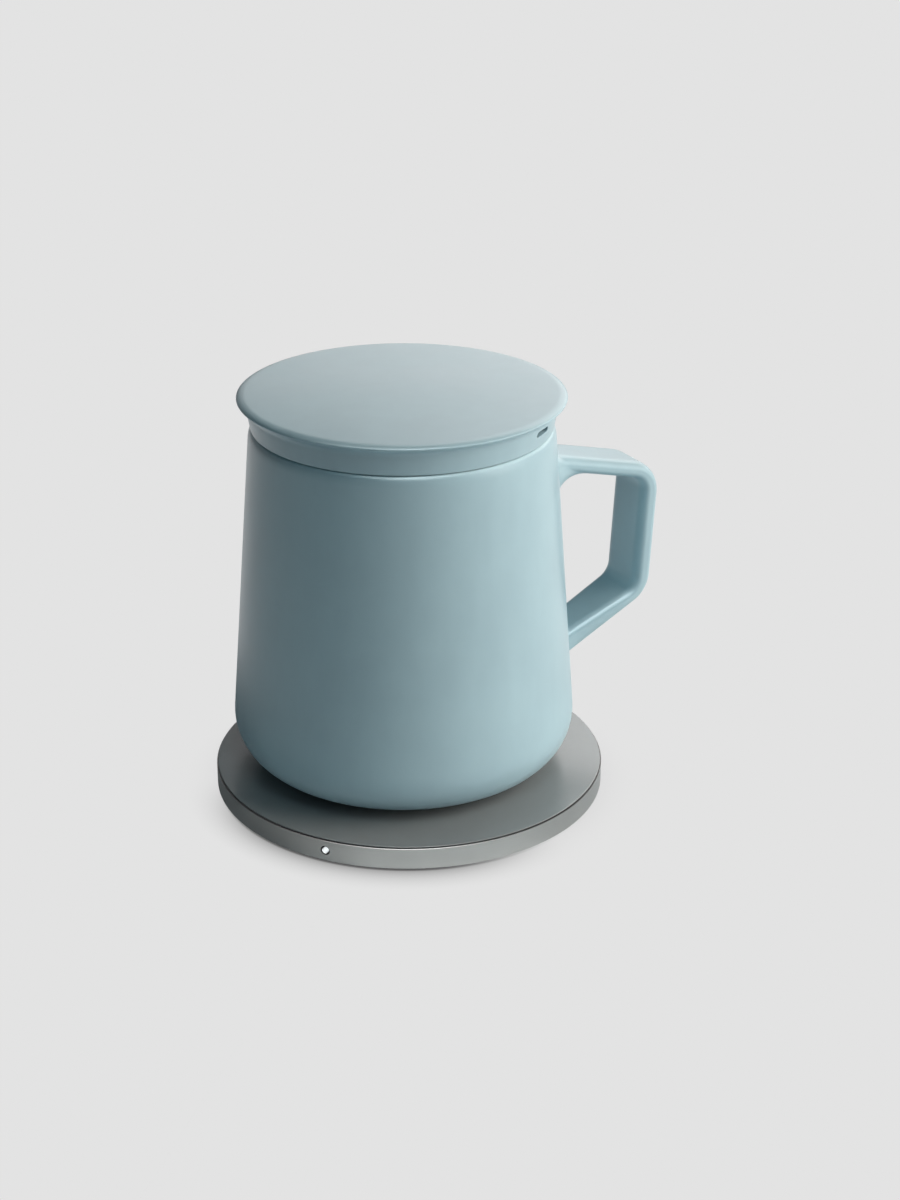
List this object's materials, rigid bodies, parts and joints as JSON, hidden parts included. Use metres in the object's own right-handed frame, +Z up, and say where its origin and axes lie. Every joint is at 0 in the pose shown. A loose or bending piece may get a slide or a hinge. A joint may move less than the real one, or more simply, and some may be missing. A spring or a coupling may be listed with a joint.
{
  "type": "heated mug with warming pad",
  "caption": "Ceramic mug with an angular handle and a flat-topped lid, standing on a thin round induction warming pad with a metal rim, an indicator lens and a power inlet.",
  "frame": {"origin": "centre of the underside of the pad's silicone foot disc, on the table", "axes": "+Z up along the axis of the pad, +X towards the side of the mug's handle"},
  "size_m": [0.1219, 0.1, 0.1057],
  "materials": {
    "glaze": "satin glaze",
    "dark_plate": "satin, fine grain",
    "rim_metal": "bead blasted",
    "black_plastic": "matt",
    "pale_plastic": "matt",
    "silicone": "matt",
    "steel": "brushed",
    "copper": "drawn wire",
    "ferrite": "fired",
    "board": "solder mask",
    "capacitor_film": "matt",
    "lens": "clear, polished"
  },
  "bodies": {
    "pad": {"foot_pad": "silicone", "base_plate": "black_plastic", "base_screws": "steel", "rim_housing": "rim_metal", "gap_gasket": "silicone", "top_plate": "dark_plate", "coil_carrier": "pale_plastic", "ferrite_shield": "ferrite", "induction_coil": "copper", "coil_leads": "copper", "temperature_sensor": "pale_plastic", "control_board": "board", "driver_chip": "black_plastic", "bridge_transistors": "black_plastic", "resonance_capacitors": "capacitor_film", "power_inductor": "ferrite", "status_led": "pale_plastic", "indicator_lens": "lens", "usb_shell": "steel", "usb_tongue": "black_plastic"},
    "mug": {"mug_body": "glaze", "handle": "glaze", "heating_disc": "steel", "base_cap": "pale_plastic", "foot_ring": "silicone"},
    "lid": {"lid_shell": "glaze", "lid_seal": "silicone"}
  },
  "joints": [
    {"name": "mug_lift", "type": "slide", "parent": "pad", "child": "mug", "axis": [0, 0, 1], "range_m": [0, 0.12]},
    {"name": "lid_lift", "type": "slide", "parent": "mug", "child": "lid", "axis": [0, 0, 1], "range_m": [0, 0.06]}
  ]
}
